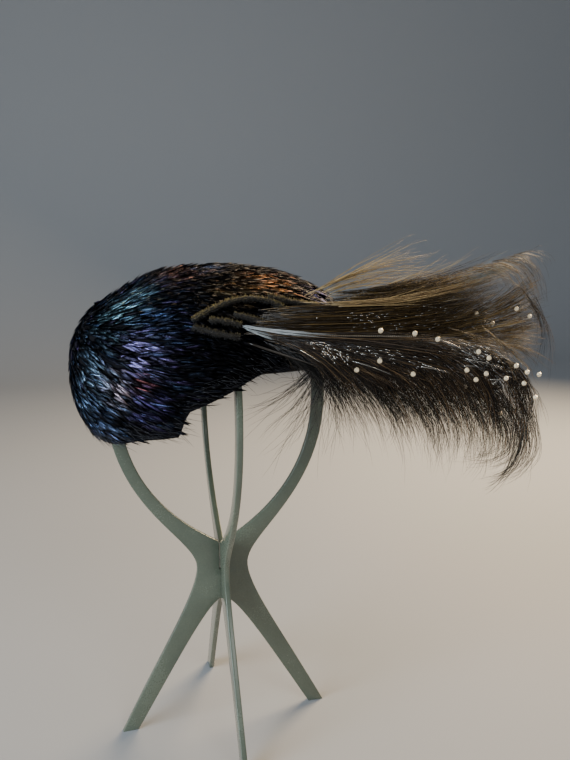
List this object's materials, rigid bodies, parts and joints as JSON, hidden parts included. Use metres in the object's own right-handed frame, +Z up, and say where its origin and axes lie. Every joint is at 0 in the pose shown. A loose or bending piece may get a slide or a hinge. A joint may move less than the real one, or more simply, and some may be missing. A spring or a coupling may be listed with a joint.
{
  "type": "cocktail hat on a folding wig stand",
  "caption": "Small domed hat covered in dark iridescent feathers with a long side plume, resting on a folding four-legged stand.",
  "frame": {"origin": "on the floor, under the middle of the bounding box of hat, plume and stand", "axes": "+Z up; X along the hat's long side, from its deep end at -X to the plume's tips at +X; the plume is on the -Y side"},
  "size_m": [0.3378, 0.1944, 0.3605],
  "materials": {
    "sage_plastic": "satin moulded plastic, grey green",
    "black_felt": "black felt",
    "dark_feathers": "short glossy feathers, blue black with violet and teal sheen",
    "olive_fuzz": "dull olive brown fuzz",
    "plume_barbs": "long thin barbs, black to brown, golden where light passes",
    "crystal": "clear faceted rhinestone with a foiled back"
  },
  "bodies": {
    "root": {"stand_plate_wide": "sage_plastic", "stand_plate_cross": "sage_plastic", "cap_shell": "black_felt", "feather_cover": "dark_feathers", "fuzzy_stem_1": "olive_fuzz", "fuzzy_stem_2": "olive_fuzz", "fuzzy_stem_3": "olive_fuzz", "fuzzy_stem_4": "olive_fuzz", "fuzzy_stem_5": "olive_fuzz", "plume_top": "plume_barbs", "plume_upper": "plume_barbs", "plume_middle": "plume_barbs", "plume_lower": "plume_barbs", "plume_fringe": "plume_barbs", "rhinestone_01": "crystal", "rhinestone_02": "crystal", "rhinestone_03": "crystal", "rhinestone_04": "crystal", "rhinestone_05": "crystal", "rhinestone_06": "crystal", "rhinestone_07": "crystal", "rhinestone_08": "crystal", "rhinestone_09": "crystal", "rhinestone_10": "crystal", "rhinestone_11": "crystal", "rhinestone_12": "crystal", "rhinestone_13": "crystal", "rhinestone_14": "crystal", "rhinestone_15": "crystal", "rhinestone_16": "crystal", "rhinestone_17": "crystal", "rhinestone_18": "crystal", "rhinestone_19": "crystal", "rhinestone_20": "crystal", "rhinestone_21": "crystal", "rhinestone_22": "crystal", "rhinestone_23": "crystal", "rhinestone_24": "crystal"}
  },
  "joints": []
}
